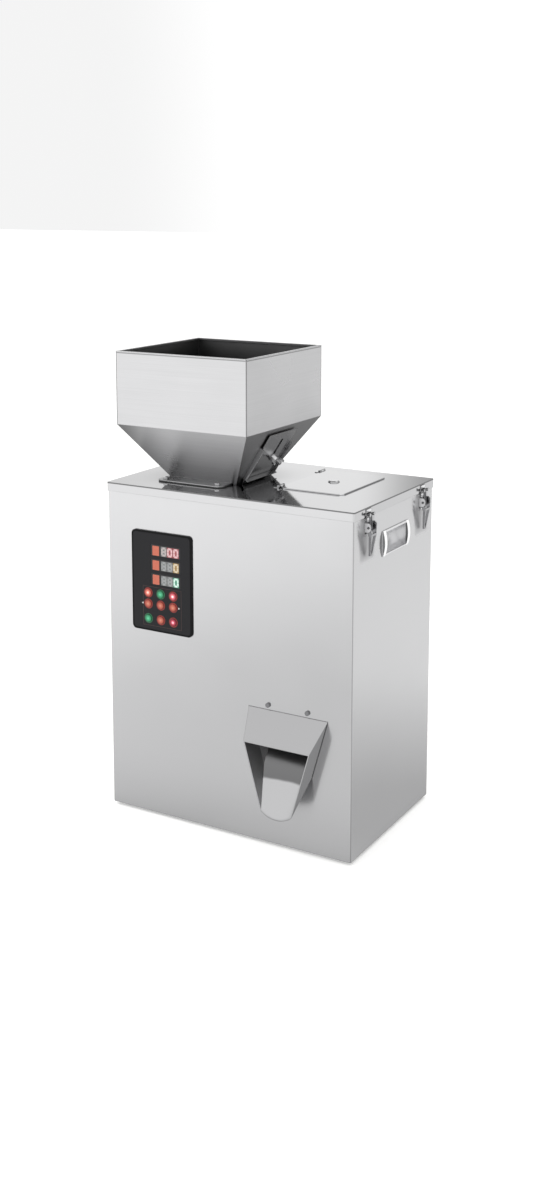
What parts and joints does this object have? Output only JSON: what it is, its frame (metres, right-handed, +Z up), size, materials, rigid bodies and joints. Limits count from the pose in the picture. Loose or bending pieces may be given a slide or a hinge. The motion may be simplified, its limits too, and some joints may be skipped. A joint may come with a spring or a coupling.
{
  "type": "powder filling machine",
  "caption": "Bench-top weighing and filling machine for powder: square hopper with a slide gate, vibrating tray, weigh bucket and a front discharge chute.",
  "frame": {"origin": "on the surface that it stands on, under the middle of the machine's box", "axes": "+Z up, -Y the front with the keypad and the chute, +X the right-hand side with two latches and a handle"},
  "size_m": [0.4514, 0.321, 0.7397],
  "materials": {
    "black_plastic": "fine grain",
    "board_green": "solder mask",
    "cast_base": "matt",
    "cell_aluminium": "anodised",
    "coil_wrap": "varnished",
    "display_glass": "gloss",
    "fastener_steel": "bright",
    "foot_rubber": "matt",
    "galvanised_sheet": "matt",
    "gasket_rubber": "matt",
    "hopper_steel": "fine brushed",
    "key_coral": "gloss",
    "key_crimson": "gloss",
    "key_green": "gloss",
    "key_orange": "gloss",
    "key_red": "gloss",
    "keypad_black": "satin film",
    "latch_steel": "bright",
    "solenoid_steel": "plated",
    "spring_steel": "blued",
    "stainless_polished": "polished",
    "stainless_satin": "satin"
  },
  "bodies": {
    "frame": {"base_plate": "galvanised_sheet", "cabinet_shell": "stainless_satin", "chute": "stainless_polished", "chute_screws": "fastener_steel", "control_board": "board_green", "cover_hinge": "stainless_polished", "discharge_funnel": "stainless_satin", "display_1": "display_glass", "display_2": "display_glass", "display_3": "display_glass", "feeder_base": "cast_base", "feet": "foot_rubber", "flap_solenoid": "solenoid_steel", "gate_guide": "hopper_steel", "handle_left": "stainless_polished", "handle_right": "stainless_polished", "hopper": "hopper_steel", "hopper_bolts": "fastener_steel", "hopper_gaskets": "gasket_rubber", "keypad_panel": "keypad_black", "latch_bases": "latch_steel", "latch_keepers": "latch_steel", "latch_pins": "latch_steel", "leaf_springs": "spring_steel", "lid": "stainless_polished", "load_cell": "cell_aluminium", "power_inlet": "black_plastic", "power_supply": "galvanised_sheet", "rear_panel": "stainless_satin", "rear_panel_screws": "fastener_steel", "support_frame": "galvanised_sheet", "vibrator_coil": "coil_wrap", "weigh_bucket": "stainless_satin"},
    "gate": {"gate_plate": "hopper_steel"},
    "wing_nut": {"gate_wing_nut": "fastener_steel"},
    "cover": {"access_cover": "stainless_polished", "cover_knob": "stainless_polished"},
    "key_1": {"key_1": "key_orange"},
    "key_2": {"key_2": "key_green"},
    "key_3": {"key_3": "key_red"},
    "key_4": {"key_4": "key_coral"},
    "key_5": {"key_5": "key_coral"},
    "key_6": {"key_6": "key_coral"},
    "key_7": {"key_7": "key_green"},
    "key_8": {"key_8": "key_coral"},
    "key_9": {"key_9": "key_crimson"},
    "lever_right_front": {"latch_lever_right_front": "latch_steel"},
    "bail_right_front": {"latch_bail_right_front": "latch_steel"},
    "lever_right_rear": {"latch_lever_right_rear": "latch_steel"},
    "bail_right_rear": {"latch_bail_right_rear": "latch_steel"},
    "lever_left_front": {"latch_lever_left_front": "latch_steel"},
    "bail_left_front": {"latch_bail_left_front": "latch_steel"},
    "lever_left_rear": {"latch_lever_left_rear": "latch_steel"},
    "bail_left_rear": {"latch_bail_left_rear": "latch_steel"},
    "tray": {"feed_tray": "stainless_satin"},
    "flap": {"bucket_flap": "stainless_satin"},
    "plunger": {"solenoid_plunger": "solenoid_steel"},
    "rocker": {"rocker_switch": "black_plastic"},
    "drawer": {"fuse_drawer": "black_plastic"}
  },
  "joints": [
    {"name": "gate_slide", "type": "slide", "parent": "frame", "child": "gate", "axis": [-0.5397, 0, -0.8419], "range_m": [0, 0.03]},
    {"name": "wing_nut_turn", "type": "hinge", "parent": "frame", "child": "wing_nut", "pos_m": [0.00189, 0.01315, 0.57203], "axis": [0.8419, 0, -0.5397], "continuous": true},
    {"name": "cover_hinge_turn", "type": "hinge", "parent": "frame", "child": "cover", "pos_m": [0.0395, 0.00465, 0.5369], "axis": [0, -1, 0], "range_deg": [0, 90]},
    {"name": "key_1_press", "type": "slide", "parent": "frame", "child": "key_1", "axis": [0, 1, 0], "range_m": [0, 0.0008], "stiffness_N_per_m": 800, "springref_m": -0.0003},
    {"name": "key_2_press", "type": "slide", "parent": "frame", "child": "key_2", "axis": [0, 1, 0], "range_m": [0, 0.0008], "stiffness_N_per_m": 800, "springref_m": -0.0003},
    {"name": "key_3_press", "type": "slide", "parent": "frame", "child": "key_3", "axis": [0, 1, 0], "range_m": [0, 0.0008], "stiffness_N_per_m": 800, "springref_m": -0.0003},
    {"name": "key_4_press", "type": "slide", "parent": "frame", "child": "key_4", "axis": [0, 1, 0], "range_m": [0, 0.0008], "stiffness_N_per_m": 800, "springref_m": -0.0003},
    {"name": "key_5_press", "type": "slide", "parent": "frame", "child": "key_5", "axis": [0, 1, 0], "range_m": [0, 0.0008], "stiffness_N_per_m": 800, "springref_m": -0.0003},
    {"name": "key_6_press", "type": "slide", "parent": "frame", "child": "key_6", "axis": [0, 1, 0], "range_m": [0, 0.0008], "stiffness_N_per_m": 800, "springref_m": -0.0003},
    {"name": "key_7_press", "type": "slide", "parent": "frame", "child": "key_7", "axis": [0, 1, 0], "range_m": [0, 0.0008], "stiffness_N_per_m": 800, "springref_m": -0.0003},
    {"name": "key_8_press", "type": "slide", "parent": "frame", "child": "key_8", "axis": [0, 1, 0], "range_m": [0, 0.0008], "stiffness_N_per_m": 800, "springref_m": -0.0003},
    {"name": "key_9_press", "type": "slide", "parent": "frame", "child": "key_9", "axis": [0, 1, 0], "range_m": [0, 0.0008], "stiffness_N_per_m": 800, "springref_m": -0.0003},
    {"name": "lever_right_front_turn", "type": "hinge", "parent": "frame", "child": "lever_right_front", "pos_m": [0.2219, -0.082, 0.5059], "axis": [0, -1, 0], "range_deg": [0, 105]},
    {"name": "bail_right_front_turn", "type": "hinge", "parent": "lever_right_front", "child": "bail_right_front", "pos_m": [0.22127, -0.082, 0.50144], "axis": [0, 1, 0], "range_deg": [0, 92]},
    {"name": "lever_right_rear_turn", "type": "hinge", "parent": "frame", "child": "lever_right_rear", "pos_m": [0.2219, 0.11, 0.5059], "axis": [0, -1, 0], "range_deg": [0, 105]},
    {"name": "bail_right_rear_turn", "type": "hinge", "parent": "lever_right_rear", "child": "bail_right_rear", "pos_m": [0.22127, 0.11, 0.50144], "axis": [0, 1, 0], "range_deg": [0, 92]},
    {"name": "lever_left_front_turn", "type": "hinge", "parent": "frame", "child": "lever_left_front", "pos_m": [-0.2219, -0.082, 0.5059], "axis": [0, 1, 0], "range_deg": [0, 105]},
    {"name": "bail_left_front_turn", "type": "hinge", "parent": "lever_left_front", "child": "bail_left_front", "pos_m": [-0.22127, -0.082, 0.50144], "axis": [0, -1, 0], "range_deg": [0, 92]},
    {"name": "lever_left_rear_turn", "type": "hinge", "parent": "frame", "child": "lever_left_rear", "pos_m": [-0.2219, 0.11, 0.5059], "axis": [0, 1, 0], "range_deg": [0, 105]},
    {"name": "bail_left_rear_turn", "type": "hinge", "parent": "lever_left_rear", "child": "bail_left_rear", "pos_m": [-0.22127, 0.11, 0.50144], "axis": [0, -1, 0], "range_deg": [0, 92]},
    {"name": "tray_vibration", "type": "slide", "parent": "frame", "child": "tray", "axis": [0.9659, 0, 0.2588], "range_m": [-0.0002, 0.0002], "stiffness_N_per_m": 40000},
    {"name": "flap_turn", "type": "hinge", "parent": "frame", "child": "flap", "pos_m": [0.1083, 0.03365, 0.415], "axis": [1, 0, 0], "range_deg": [0, 45], "stiffness_Nm_per_rad": 0.04, "springref_deg": -34.38},
    {"name": "plunger_lift", "type": "slide", "parent": "frame", "child": "plunger", "axis": [0, 0, 1], "range_m": [0, 0.0115]},
    {"name": "rocker_tilt", "type": "hinge", "parent": "frame", "child": "rocker", "pos_m": [0.145, 0.153, 0.1135], "axis": [1, 0, 0], "range_deg": [0, 18]},
    {"name": "drawer_slide", "type": "slide", "parent": "frame", "child": "drawer", "axis": [0, 1, 0], "range_m": [0, 0.012]}
  ],
  "couplings": [
    {"joint": "bail_right_front_turn", "follows": "lever_right_front_turn", "ratio": 0.86},
    {"joint": "bail_right_rear_turn", "follows": "lever_right_rear_turn", "ratio": 0.86},
    {"joint": "bail_left_front_turn", "follows": "lever_left_front_turn", "ratio": 0.86},
    {"joint": "bail_left_rear_turn", "follows": "lever_left_rear_turn", "ratio": 0.86},
    {"joint": "plunger_lift", "follows": "flap_turn", "m_per_rad": 0.01401}
  ]
}
